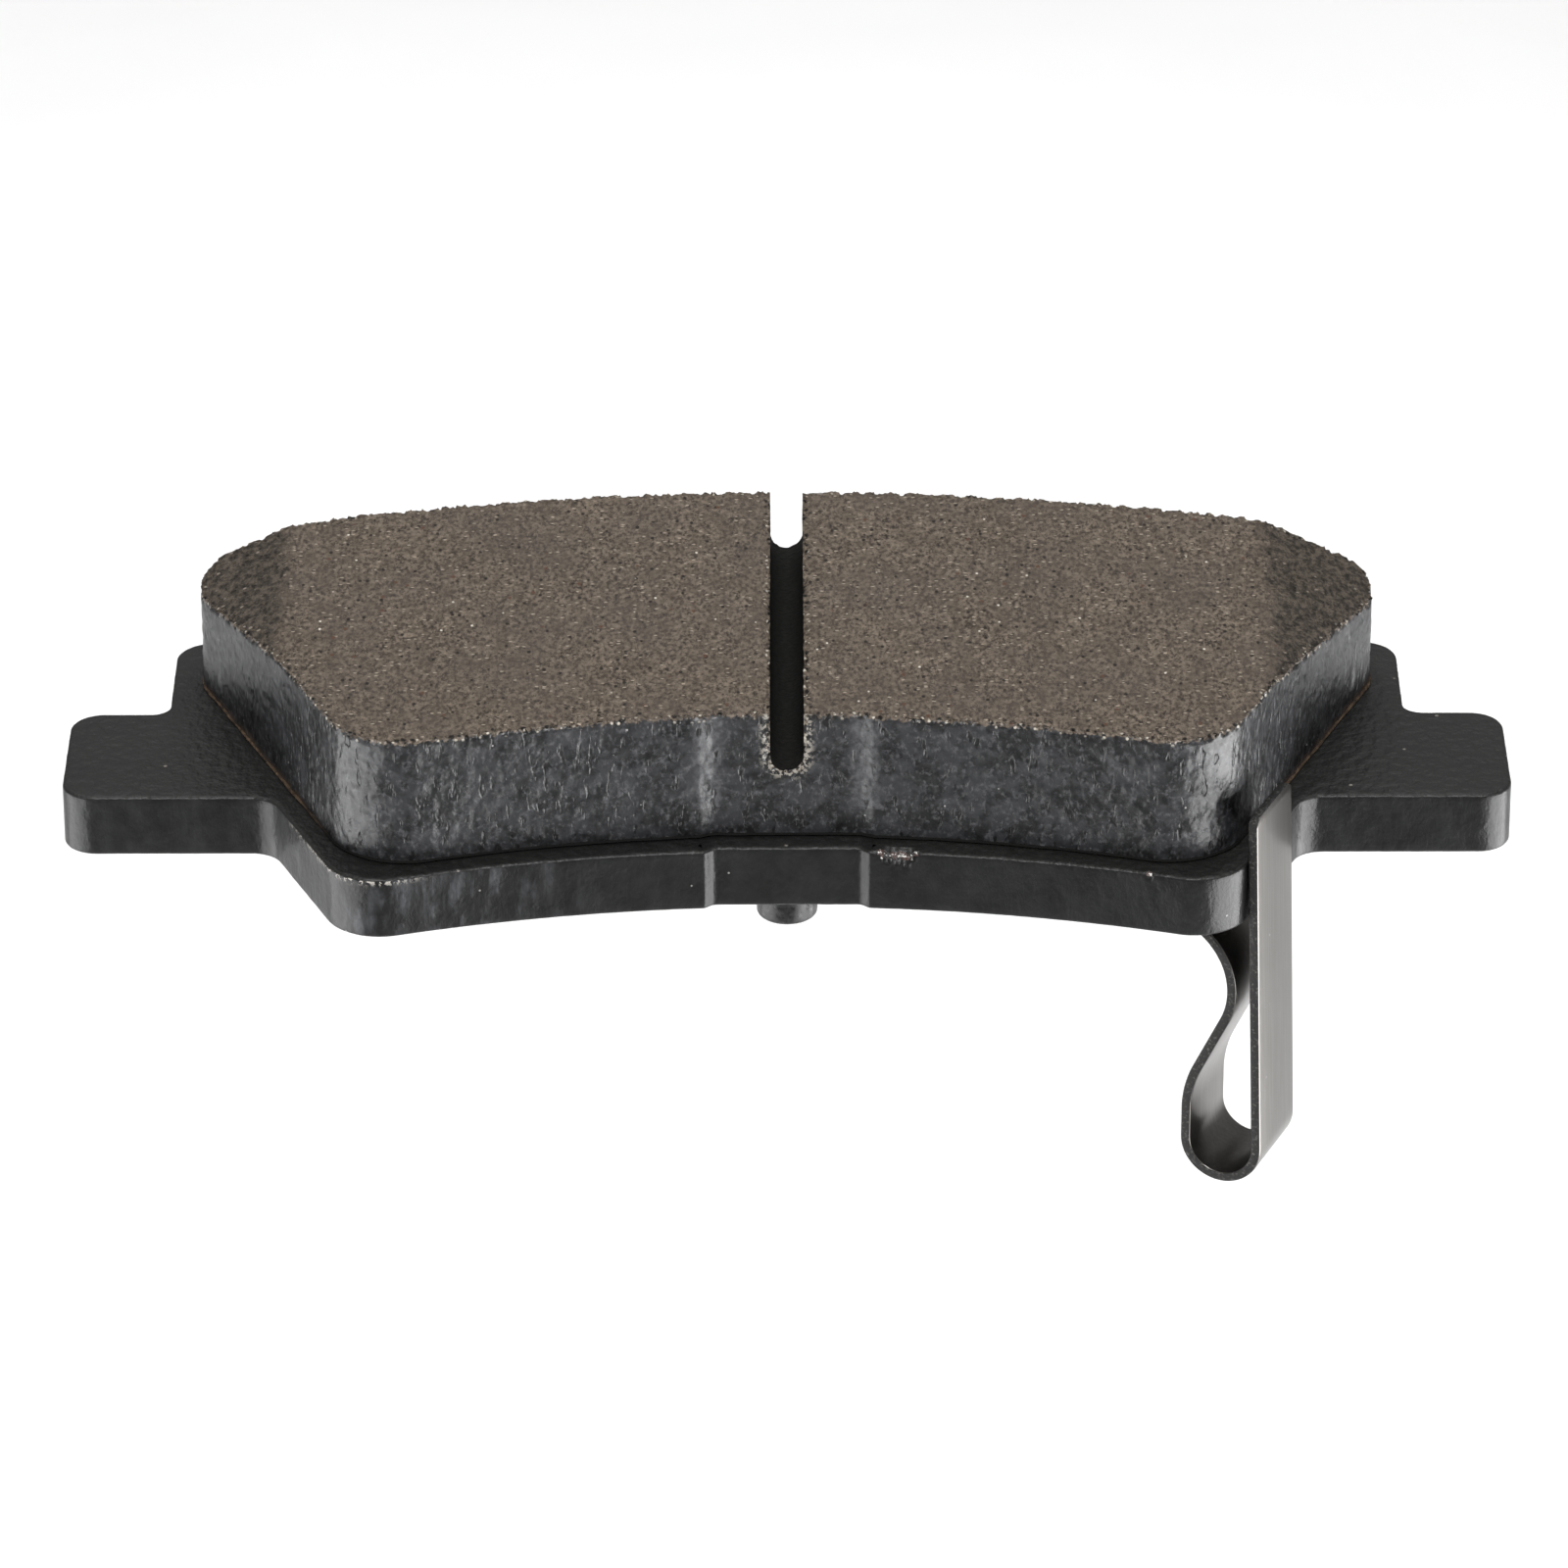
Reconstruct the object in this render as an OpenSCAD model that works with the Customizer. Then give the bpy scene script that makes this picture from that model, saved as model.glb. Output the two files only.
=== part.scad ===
// Disc brake pad with a riveted wear indicator, millimetres.
// +Z is the side that faces the disc, +Y points away from the wheel's centre.
// The origin is on the locating pin's axis, on the back face of the backing plate.

/* [Backing plate] */
// Overall width, across the two ears
plate_w = 100; // [96:0.5:104]
// Thickness of the steel
plate_t = 4.5; // [4:0.1:6]
// Half width of the body beside the ears
neck_x = 43.2; // [42.8:0.1:44]
// Y of the ears' inner edge
ear_low_y = 3; // [2:0.1:4]
// Height of each ear
ear_h = 12.5; // [11:0.1:14]
// Radius of the ears' corners
ear_corner_r = 2.3; // [1:0.1:3]
// Radius where an ear's outer edge meets the body
neck_fillet_r = 1.3; // [0.5:0.1:2]
// Radius where an ear's inner edge meets the slanted edge
slant_fillet_r = 2.2; // [1:0.1:3]
// Y of the outer edge on the centre line
plate_out_y = 33.3; // [32.5:0.1:35]
// Radius of the outer edge
plate_out_r = 126; // [110:1:150]
// Y of the inner edge on the centre line, without the recess
plate_in_y = -4.8; // [-6:0.1:-4.5]
// Radius of the hollow inner edge
plate_in_r = 91; // [80:1:110]
// Radius of the inner corners
plate_low_corner_r = 4; // [3:0.1:5]
// Radius of the outer corners
plate_high_corner_r = 2.5; // [1:0.1:4]
// Half width of each slanted edge's line at Y = 0
plate_slant_x = 34.2; // [34:0.1:35]

/* [Retention holes] */
// Diameter of the two holes that the underlayer fills
plug_d = 8; // [5:0.5:10]
// Distance of each hole from the centre line
plug_x = 20; // [16:0.5:22]
// Y of the holes
plug_y = 15; // [12:0.5:18]
// Depth of each plug's end below the plate's back face
plug_recess = 0.4; // [0.1:0.1:1]

/* [Lining] */
// Height of the worn-to face above the plate's back face
lining_top = 13.9; // [12:0.1:16]
// Thickness of the bonding film
bond_t = 0.25; // [0.1:0.05:0.5]
// How far the film stands out past the lining's sides
bond_proud = 0.15; // [0.15:0.05:0.3]
// Thickness of the underlayer
under_t = 2; // [1:0.1:3]
// Half width of the lining at its widest
lining_x = 41.1; // [40:0.1:41.5]
// Y of the lining's outer edge on the centre line
lining_out_y = 31.5; // [30.5:0.1:32]
// Radius of the lining's outer edge
lining_out_r = 125; // [110:1:150]
// Y of the lining's inner edge on the centre line
lining_in_y = -2.95; // [-3.5:0.05:-2]
// Radius of the lining's hollow inner edge
lining_in_r = 86; // [75:1:110]
// Radius of the lining's inner corners
lining_low_corner_r = 5.5; // [4:0.1:7]
// Radius where the slanted side turns upright
lining_side_r = 5; // [2:0.5:8]
// Radius of the lining's outer corners
lining_high_corner_r = 2.6; // [1:0.1:4]
// Half width of the lining's slanted line at Y = 0
lining_slant_x = 32.5; // [32:0.1:33]
// Start of the left chamfer, from the centre line
chamfer_left_x = 34.9; // [32:0.1:37]
// Start of the right chamfer, from the centre line
chamfer_right_x = 33.4; // [32:0.1:37]
// Drop of the left chamfer at the lining's end
chamfer_left_drop = 2.2; // [1.5:0.1:4]
// Drop of the right chamfer at the lining's end
chamfer_right_drop = 2.6; // [1.5:0.1:4]

/* [Slot] */
// Width of the slot
slot_w = 2.3; // [1.5:0.1:3.5]
// Depth of the slot to the bottom of its round
slot_depth = 4.4; // [2:0.1:5]

/* [Inner edge recess] */
// Half width of the recess in the inner edge
recess_x = 5; // [3:0.1:7]
// Width of each sloping end of the recess
recess_run = 0.8; // [0.3:0.1:1.5]
// Y of the recess in the plate
plate_recess_y = -4.45; // [-4.6:0.05:-4]
// Y of the recess in the lining
lining_recess_y = -2.75; // [-2.9:0.05:-2]

/* [Locating pin] */
// Diameter of the pin
pin_d = 4.2; // [3:0.1:6]
// Height of the pin behind the plate
pin_h = 2.9; // [2:0.1:4]
// Radius of the pin's rim
pin_rim = 0.37; // [0.1:0.01:0.6]
// Diameter of the pin's shank in the plate
pin_shank_d = 3.2; // [2:0.1:4]

/* [Wear indicator] */
// Width of the spring strip
strip_w = 6.5; // [5:0.1:7]
// Thickness of the spring strip
strip_t = 0.7; // [0.5:0.05:0.8]
// Place of the strip's inner-edge side along the slanted edge, from Y = 0
strip_start = -7.5; // [-8:0.1:-7]
// Height of the tip above the plate's back face
tip_z = 7.9; // [6.5:0.1:9]
// Distance of the tip's middle outside the slanted edge
tip_out = 0.33; // [0.3:0.01:0.6]
// Height of the loop's centre below the back face
loop_z = -17.8; // [-20:0.1:-16]
// Distance of the loop's centre outside the slanted edge
loop_out = -1.45; // [-1.6:0.05:-1.3]
// Radius of the loop, to the middle of the strip
loop_r = 2.6; // [2.4:0.1:2.8]
// Gap between the two halves of the strip, where it flexes
flex_gap = 0.5; // [0.4:0.1:0.8]
// Radius of the bend below the foot
root_r = 5.5; // [4.5:0.1:6]
// Slope of the strip between its two bends, in degrees
waist_a = 25; // [20:1:30]
// Radius where the slope runs into the loop
waist_r = 8; // [6:0.5:10]
// Upright stretch between that radius and the loop's centre
loop_rise = 2.2; // [1:0.1:3]
// Distance of the rivet from the strip's root bend
rivet_reach = 4.6; // [4:0.1:6]

/* [Rivet] */
// Diameter of the rivet's shank
rivet_d = 2.8; // [2:0.1:3.5]
// Diameter of the rivet's head
rivet_head_d = 4.8; // [4:0.1:6]
// Height of the rivet's head
rivet_head_h = 1; // [0.6:0.1:1.4]
// Rounding of the rivet head's rim
rivet_rim = 0.6; // [0.2:0.05:0.6]

/* [Hidden] */
$fn = 96;

// Slope of the plate's and the lining's slanted edges, X over Y.
slant = 0.44;
slant_a = atan(slant);
slant_len = sqrt(1 + slant * slant);
eps = 0.01;
far = 60;
arc_step = 5;

under_z = plate_t + bond_t;
block_z = under_z + under_t;
ear_top_y = ear_low_y + ear_h;

// Where the strip's middle runs, as [out, z]: out is the distance outside the slanted edge's line.
foot_z = -strip_t / 2;
loop_c = [loop_out, loop_z];
gap_a = flex_gap / loop_r * 180 / PI;
tip_away = [tip_out, tip_z] - loop_c;
leg_tilt = atan2(tip_away.y, tip_away.x) - acos(loop_r / norm(tip_away));
waist_low = [loop_out - loop_r, loop_z + loop_rise];
waist_c = waist_low + [waist_r, 0];
waist_run = (foot_z - root_r * (1 + sin(waist_a)) - waist_low.y - waist_r * sin(waist_a)) / cos(waist_a);
root_c = [waist_c.x - (waist_r + root_r) * cos(waist_a) + waist_run * sin(waist_a), foot_z - root_r];
rivet_out = root_c.x - rivet_reach;

// Unit vector at angle a.
function at(a) = [cos(a), sin(a)];

// Points along an arc about c, a step every few degrees.
function arc(c, r, a1, a2) =
    let (steps = ceil(abs(a2 - a1) / arc_step))
    [for (i = [0:steps]) c + r * at(a1 + (a2 - a1) * i / steps)];

function reversed(list) = [for (i = [len(list) - 1:-1:0]) list[i]];

// Centre of a corner of radius r between a slanted edge and a hollow inner edge.
function low_corner(slant_x, in_y, in_r, r) =
    let (yc = in_y - in_r,
         a = slant_x - r * slant_len,
         qa = 1 + slant * slant,
         qb = 2 * (a * slant - yc),
         qc = a * a + yc * yc - (in_r + r) * (in_r + r),
         y = (-qb + sqrt(qb * qb - 4 * qa * qc)) / (2 * qa))
    [a + slant * y, y];

// Centre of a corner of radius r between an upright side and the outer edge.
function high_corner(side_x, out_y, out_r, r) =
    let (x = side_x - r)
    [x, out_y - out_r + sqrt((out_r - r) * (out_r - r) - x * x)];

// Everything outside a circle of radius r, between the angles a1 and a2.
module corner_waste(c, r, a1, a2) {
    reach = 3 * r;
    difference() {
        polygon([c, c + reach * at(a1), c + reach * at((a1 + a2) / 2), c + reach * at(a2)]);
        translate(c)
            circle(r);
    }
}

// Both sides of what is drawn on the right.
module both_sides() {
    children();
    mirror([1, 0])
        children();
}

// Outline of the plate's body or of the lining, between a hollow and a full arc.
module pad_outline(side_x, shoulder_y, slant_x, in_y, in_r, out_y, out_r, low_r, high_r, recess_y) {
    low_c = low_corner(slant_x, in_y, in_r, low_r);
    high_c = high_corner(side_x, out_y, out_r, high_r);
    low_y = in_y - 12;
    shoulder_x = slant_x + slant * shoulder_y;
    low_x = slant_x + slant * low_y;
    difference() {
        intersection() {
            polygon([[-low_x, low_y], [low_x, low_y], [shoulder_x, shoulder_y], [side_x, shoulder_y],
                     [side_x, far], [-side_x, far], [-side_x, shoulder_y], [-shoulder_x, shoulder_y]]);
            translate([0, out_y - out_r])
                circle(out_r, $fn = 360);
        }
        translate([0, in_y - in_r])
            circle(in_r, $fn = 360);
        polygon([[-recess_x - recess_run, in_y - 1], [-recess_x, recess_y],
                 [recess_x, recess_y], [recess_x + recess_run, in_y - 1]]);
        both_sides() {
            corner_waste(low_c, low_r, atan2(in_y - in_r - low_c.y, -low_c.x), -slant_a);
            corner_waste(high_c, high_r, 0, atan2(high_c.y - out_y + out_r, high_c.x));
        }
    }
}

// The right ear, with its rounded end and the two fillets at its root.
module ear_outline() {
    end_x = plate_w / 2;
    low_c = [plate_slant_x + slant_fillet_r * slant_len + slant * (ear_low_y - slant_fillet_r),
             ear_low_y - slant_fillet_r];
    difference() {
        translate([0, ear_low_y])
            square([end_x, ear_h]);
        corner_waste([end_x - ear_corner_r, ear_low_y + ear_corner_r], ear_corner_r, -90, 0);
        corner_waste([end_x - ear_corner_r, ear_top_y - ear_corner_r], ear_corner_r, 0, 90);
    }
    difference() {
        polygon([low_c, [low_c.x, ear_low_y + eps],
                 [plate_slant_x + slant * ear_low_y - eps, ear_low_y + eps],
                 low_c + (slant_fillet_r + eps) * at(180 - slant_a)]);
        translate(low_c)
            circle(slant_fillet_r);
    }
    difference() {
        translate([neck_x - eps, ear_top_y - eps])
            square(neck_fillet_r + eps);
        translate([neck_x + neck_fillet_r, ear_top_y + neck_fillet_r])
            circle(neck_fillet_r);
    }
}

module plate_outline() {
    pad_outline(neck_x, ear_low_y, plate_slant_x, plate_in_y, plate_in_r, plate_out_y, plate_out_r,
                plate_low_corner_r, plate_high_corner_r, plate_recess_y);
    both_sides()
        ear_outline();
}

// Outline of the lining, grown by `proud` all round.
module lining_outline(proud = 0) {
    side_x = lining_x + proud;
    slant_x = lining_slant_x + proud * slant_len;
    knee_y = (side_x - slant_x) / slant;
    knee_r = lining_side_r + proud;
    knee_c = [side_x - knee_r, (side_x - knee_r - slant_x + knee_r * slant_len) / slant];
    difference() {
        pad_outline(side_x, knee_y, slant_x, lining_in_y - proud, lining_in_r - proud,
                    lining_out_y + proud, lining_out_r + proud, lining_low_corner_r + proud,
                    lining_high_corner_r + proud, lining_recess_y - proud);
        both_sides()
            corner_waste(knee_c, knee_r, -slant_a, 0);
    }
}

// What stands at both retention holes.
module at_plugs() {
    for (side = [-1, 1])
        translate([side * plug_x, plug_y, 0])
            children();
}

// Turns a drawing in (out, z) into the strip's own place on the pad.
module on_slanted_edge() {
    translate([plate_slant_x, 0, 0])
        rotate([0, 0, -slant_a])
            translate([0, strip_start, 0])
                children();
}

// A drawing in (out, z), as wide as the strip.
module strip_solid() {
    translate([0, strip_w, 0])
        rotate([90, 0, 0])
            linear_extrude(strip_w)
                children();
}

module rivet_axis() {
    on_slanted_edge()
        translate([rivet_out, strip_w / 2, 0])
            children();
}

module backing_plate() {
    color([0.14, 0.14, 0.14])
        difference() {
            linear_extrude(plate_t)
                plate_outline();
            at_plugs()
                translate([0, 0, -1])
                    cylinder(d = plug_d, h = plate_t + 2);
            translate([0, 0, -1])
                cylinder(d = pin_shank_d, h = plate_t + 2);
            rivet_axis()
                translate([0, 0, -1])
                    cylinder(d = rivet_d, h = plate_t + 2);
        }
}

module bond_layer() {
    color([0.36, 0.24, 0.16])
        translate([0, 0, plate_t])
            linear_extrude(bond_t)
                difference() {
                    lining_outline(bond_proud);
                    for (side = [-1, 1])
                        translate([side * plug_x, plug_y])
                            circle(d = plug_d);
                }
}

module underlayer() {
    color([0.28, 0.25, 0.22]) {
        translate([0, 0, under_z])
            linear_extrude(under_t)
                lining_outline();
        at_plugs()
            translate([0, 0, plug_recess])
                cylinder(d = plug_d, h = under_z - plug_recess + eps);
    }
}

// The waste that one chamfer takes off, on the right, from start_x outward.
module chamfer_waste(start_x, drop) {
    slope = drop / (lining_x - start_x);
    out_x = lining_x + 2;
    translate([0, far, 0])
        rotate([90, 0, 0])
            linear_extrude(2 * far)
                polygon([[start_x - 1, lining_top + slope], [out_x, lining_top + slope],
                         [out_x, lining_top - slope * (out_x - start_x)]]);
}

module friction_block() {
    slot_r = slot_w / 2;
    color([0.42, 0.38, 0.34])
        difference() {
            translate([0, 0, block_z])
                linear_extrude(lining_top - block_z)
                    lining_outline();
            chamfer_waste(chamfer_right_x, chamfer_right_drop);
            mirror([1, 0, 0])
                chamfer_waste(chamfer_left_x, chamfer_left_drop);
            translate([0, far, 0])
                rotate([90, 0, 0])
                    linear_extrude(2 * far)
                        union() {
                            translate([-slot_r, lining_top - slot_depth + slot_r])
                                square([slot_w, slot_depth]);
                            translate([0, lining_top - slot_depth + slot_r])
                                circle(slot_r);
                        }
        }
}

module locating_pin() {
    r = pin_d / 2;
    color([0.2, 0.2, 0.2])
        rotate_extrude()
            union() {
                translate([0, -pin_h + pin_rim])
                    square([r, pin_h - pin_rim]);
                translate([0, -pin_h])
                    square([r - pin_rim, pin_h]);
                intersection() {
                    translate([r - pin_rim, -pin_h + pin_rim])
                        circle(pin_rim);
                    translate([0, -pin_h])
                        square([r, pin_h]);
                }
                translate([0, -eps])
                    square([pin_shank_d / 2, plate_t + eps]);
            }
}

// Foot, root bend, waist and the inner half of the loop.
module wear_sensor_foot() {
    // One face of the strip, d away from its middle.
    function face(d) = concat(
        [[rivet_out, foot_z + d]],
        arc(root_c, root_r + d, 90, -waist_a),
        arc(waist_c, waist_r - d, 180 - waist_a, 180),
        arc(loop_c, loop_r - d, 180, 270 - gap_a / 2));
    color([0.33, 0.32, 0.31])
        difference() {
            on_slanted_edge() {
                strip_solid()
                    polygon(concat(face(strip_t / 2), reversed(face(-strip_t / 2))));
                translate([rivet_out, strip_w / 2, -strip_t])
                    cylinder(d = strip_w, h = strip_t);
            }
            rivet_axis()
                translate([0, 0, -strip_t - 1])
                    cylinder(d = rivet_d, h = strip_t + 2);
        }
}

// The outer half of the loop and the straight leg up to the tip.
module wear_sensor_leg() {
    tip = [tip_out, tip_z];
    function face(d) = concat(
        arc(loop_c, loop_r + d, gap_a / 2 - 90, leg_tilt),
        [tip + d * at(leg_tilt)]);
    color([0.33, 0.32, 0.31])
        on_slanted_edge()
            strip_solid()
                polygon(concat(face(strip_t / 2), reversed(face(-strip_t / 2))));
}

module sensor_rivet() {
    r = rivet_head_d / 2;
    color([0.3, 0.3, 0.3])
        rivet_axis()
            rotate_extrude()
                union() {
                    translate([0, -strip_t - rivet_head_h])
                        square([r - rivet_rim, rivet_head_h]);
                    translate([0, -strip_t - rivet_head_h + rivet_rim])
                        square([r, rivet_head_h - rivet_rim]);
                    intersection() {
                        translate([r - rivet_rim, -strip_t - rivet_head_h + rivet_rim])
                            circle(rivet_rim);
                        translate([0, -strip_t - rivet_head_h])
                            square([r, rivet_head_h]);
                    }
                    translate([0, -strip_t - eps])
                        square([rivet_d / 2, plate_t + strip_t + eps]);
                }
}

backing_plate();
bond_layer();
underlayer();
friction_block();
locating_pin();
wear_sensor_foot();
wear_sensor_leg();
sensor_rivet();
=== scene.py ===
import math
import random

import bpy
import numpy as np
from mathutils import Matrix, Vector, kdtree, noise
from mathutils.geometry import delaunay_2d_cdt


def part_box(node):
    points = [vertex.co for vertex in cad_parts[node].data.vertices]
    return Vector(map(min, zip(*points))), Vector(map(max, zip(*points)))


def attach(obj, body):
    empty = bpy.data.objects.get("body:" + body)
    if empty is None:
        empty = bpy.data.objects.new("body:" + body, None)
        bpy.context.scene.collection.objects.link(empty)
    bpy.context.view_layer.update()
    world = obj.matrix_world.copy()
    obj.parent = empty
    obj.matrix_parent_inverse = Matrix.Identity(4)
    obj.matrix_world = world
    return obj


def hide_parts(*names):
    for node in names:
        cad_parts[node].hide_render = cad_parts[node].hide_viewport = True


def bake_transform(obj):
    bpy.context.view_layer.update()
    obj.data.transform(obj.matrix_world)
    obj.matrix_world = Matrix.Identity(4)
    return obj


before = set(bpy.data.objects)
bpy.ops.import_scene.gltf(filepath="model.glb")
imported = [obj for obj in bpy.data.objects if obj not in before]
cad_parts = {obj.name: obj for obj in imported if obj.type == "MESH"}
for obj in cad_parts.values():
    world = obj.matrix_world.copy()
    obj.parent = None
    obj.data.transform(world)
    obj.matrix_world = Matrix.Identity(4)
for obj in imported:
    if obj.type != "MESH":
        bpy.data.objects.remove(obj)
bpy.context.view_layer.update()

# Shapes are worked out in millimetres and turned into metres when a mesh is made.
MM = 0.001
SEED = 7


def cad_box(node):
    """The low and the high corner of a CAD node's box, in millimetres."""
    return [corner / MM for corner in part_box(node)]


# Sizes that the CAD boxes give.
PLATE_HIGH = cad_box("backing_plate")[1]
BOND_LOW, BOND_HIGH = cad_box("bond_layer")
PLUG_END = cad_box("underlayer")[0].z
BLOCK_LOW, BLOCK_HIGH = cad_box("friction_block")
PIN_LOW, PIN_HIGH = cad_box("locating_pin")
RIVET_LOW, RIVET_HIGH = cad_box("sensor_rivet")
PLATE_TOP = PLATE_HIGH.z
LINING_TOP = BLOCK_HIGH.z
BLOCK_Z = BLOCK_LOW.z

# Slope of the slanted edges, X over Y.
SLANT = 0.44
SLANT_A = math.degrees(math.atan(SLANT))
SLANT_LEN = math.hypot(1, SLANT)

# The shallow recess in the inner edge.
RECESS_X = 4.85

# Ears of the plate.
EAR_END = PLATE_HIGH.x
EAR_LOW_Y = 3.0
EAR_TOP_Y = 15.5
EAR_R = 2.3
EAR_FILLET_R = 2.2
NECK_FILLET_R = 1.3

# Retention plugs in the plate.
PLUG_AT = [(-20.0, 15.0), (20.0, 15.0)]
PLUG_R = 4.0
PLUG_GAP = 0.02
PLUG_RIM_IN = 0.25
PLUG_RIM_UP = 0.15

# How far the adhesive stands out past the lining.
BOND_PROUD = 0.15

# Chamfers at the lining's ends, and the slot.
CHAMFER_LEFT = 34.9
CHAMFER_RIGHT = 33.4
CHAMFER_LEFT_DROP = 2.2
CHAMFER_RIGHT_DROP = 2.6
SLOT_R = 1.15
SLOT_DEPTH = 4.4

# Knee where the lining's slanted side turns upright.
KNEE_R = 5.0

# Spacing of points: on an outline as first worked out, on the plate's walls, on the chips
# in them, and on the lining's walls.
FINE_STEP = 0.05
PLATE_STEP = 0.24
CHIP_STEP = 0.1
LINING_STEP = 0.13
# Points along half of an inner edge, as first worked out.
NEAR_POINTS = 700

# Chips in the plate's inner upper rim, along X: start, end, run at each end, and depth.
CHIPS = ((5.4, 9.5, 1.8, 1.4, 0.7), (24.1, 24.9, 0.3, 0.3, 0.3))
# Stretches of X that hold the chips.
CHIPPED_X = ((5, 10), (24, 25))
# The way that a chip's floor faces, as shares in towards the plate and down.
CHIP_IN = 0.83
CHIP_DOWN = 0.55
# How far in a chip goes for each millimetre of its depth.
CHIP_REACH = 0.42

# The wear indicator's strip. Its points are (distance outside the slanted edge, height).
STRIP_W = 6.5
STRIP_T = 0.7
STRIP_START = -7.5
TIP = (0.33, 7.9)
LOOP_C = (-1.45, -17.8)
LOOP_R = 2.6
ROOT_R = 5.5
WAIST_A = 25.0
WAIST_R = 8.0
LOOP_RISE = 2.2
RIVET_REACH = 4.6


def smooth(t):
    """Goes from 0 to 1 with level ends as t does, and stays there outside them."""
    t = min(1.0, max(0.0, t))
    return t * t * (3 - 2 * t)


def at(angle):
    """The point on a circle of radius 1 at an angle in degrees."""
    return math.cos(math.radians(angle)), math.sin(math.radians(angle))


def arc(c, r, a1, a2):
    """Points along an arc about c, close together."""
    steps = max(4, math.ceil(abs(math.radians(a2 - a1)) * r / FINE_STEP))
    turns = [at(a1 + (a2 - a1) * i / steps) for i in range(steps + 1)]
    return [(c[0] + r * x, c[1] + r * y) for x, y in turns]


class Outline:
    """The shape that the plate's body and the lining share: hollow inside, full outside.

    The inner and the outer edge are arcs that cross the centre line at in_y and out_y. The slanted
    edge crosses Y = 0 at slant_x, and the upright side is at side_x. The corners at the slanted
    edge's foot and at the upright side's top have radii low_r and high_r. The shallow recess in the
    inner edge is at recess_y, and its ends are recess_run long.
    """

    def __init__(self, in_y, in_r, out_y, out_r, low_r, high_r, slant_x, side_x, recess_y, recess_run):
        self.in_y, self.in_r = in_y, in_r
        self.out_y, self.out_r = out_y, out_r
        self.low_r, self.high_r = low_r, high_r
        self.slant_x, self.side_x = slant_x, side_x
        self.recess_y, self.recess_run = recess_y, recess_run

    def near(self, x):
        """Y of the inner edge at x."""
        hollow = self.in_y - self.in_r + math.sqrt(self.in_r ** 2 - x * x)
        return self.recess_y + (hollow - self.recess_y) * smooth((abs(x) - RECESS_X) / self.recess_run)

    def far(self, x):
        """Y of the outer edge at x."""
        return self.out_y - self.out_r + math.sqrt(self.out_r ** 2 - x * x)

    def low_corner(self):
        """Centre of the arc between the inner edge and the slanted edge."""
        yc = self.in_y - self.in_r
        a = self.slant_x - self.low_r * SLANT_LEN
        qa = 1 + SLANT ** 2
        qb = 2 * (a * SLANT - yc)
        qc = a * a + yc * yc - (self.in_r + self.low_r) ** 2
        y = (-qb + math.sqrt(qb * qb - 4 * qa * qc)) / (2 * qa)
        return a + SLANT * y, y

    def high_corner(self):
        """Centre of the arc between the upright side and the outer edge."""
        x = self.side_x - self.high_r
        return x, self.out_y - self.out_r + math.sqrt((self.out_r - self.high_r) ** 2 - x * x)

    def half(self, shoulder, start_x):
        """Right half, from the inner edge at start_x round to the outer edge at start_x."""
        low_c = self.low_corner()
        high_c = self.high_corner()
        out_y = self.out_y - self.out_r
        low_a = math.degrees(math.atan2(self.in_y - self.in_r - low_c[1], -low_c[0]))
        high_a = math.degrees(math.atan2(high_c[1] - out_y, high_c[0]))
        end_x = low_c[0] + self.low_r * at(low_a)[0]
        near = [(x, self.near(x)) for x in np.linspace(start_x, end_x, NEAR_POINTS)]
        far_end = math.degrees(math.acos(start_x / self.out_r))
        return (near + arc(low_c, self.low_r, low_a, -SLANT_A) + shoulder
                + arc(high_c, self.high_r, 0, high_a) + arc((0, out_y), self.out_r, high_a, far_end))


def grown(proud):
    """The lining's outline, proud of its true place all round."""
    return Outline(in_y=-2.95 - proud, in_r=86 - proud, out_y=31.5 + proud, out_r=125 + proud,
                   low_r=5.5 + proud, high_r=2.6 + proud, slant_x=32.5 + proud * SLANT_LEN,
                   side_x=41.1 + proud, recess_y=-2.75 - proud, recess_run=1.25)


PLATE = Outline(in_y=-4.8, in_r=91, out_y=33.3, out_r=126, low_r=4, high_r=2.5,
                slant_x=34.2, side_x=43.2, recess_y=-4.45, recess_run=0.85)
LINING = grown(0)


def ear_shoulder():
    """From the slanted edge round the right ear to the plate's side."""
    low_y = EAR_LOW_Y - EAR_FILLET_R
    low_c = (PLATE.slant_x + EAR_FILLET_R * SLANT_LEN + SLANT * low_y, low_y)
    neck_c = (PLATE.side_x + NECK_FILLET_R, EAR_TOP_Y + NECK_FILLET_R)
    return (arc(low_c, EAR_FILLET_R, 180 - SLANT_A, 90)
            + arc((EAR_END - EAR_R, EAR_LOW_Y + EAR_R), EAR_R, -90, 0)
            + arc((EAR_END - EAR_R, EAR_TOP_Y - EAR_R), EAR_R, 0, 90)
            + arc(neck_c, NECK_FILLET_R, 270, 180))


def knee_shoulder(line, proud=0):
    """From the lining's slanted side to its upright side."""
    r = KNEE_R + proud
    x = line.side_x - r
    return arc((x, (x - line.slant_x + r * SLANT_LEN) / SLANT), r, -SLANT_A, 0)


def resample(points, step_at):
    """The same open line with its points step_at(x, y) apart."""
    dense = [points[0]]
    for a, b in zip(points, points[1:]):
        parts = max(1, math.ceil(math.dist(a, b) / FINE_STEP))
        dense += [(a[0] + (b[0] - a[0]) * i / parts, a[1] + (b[1] - a[1]) * i / parts)
                  for i in range(1, parts + 1)]
    xy = np.array(dense)
    gaps = np.hypot(*np.diff(xy, axis=0).T)
    steps = np.array([step_at(x, y) for x, y in (xy[1:] + xy[:-1]) / 2])
    along = np.concatenate([[0.0], np.cumsum(gaps / steps)])
    places = np.linspace(0, along[-1], max(2, round(along[-1])) + 1)
    return np.stack([np.interp(places, along, xy[:, k]) for k in (0, 1)], axis=1)


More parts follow.
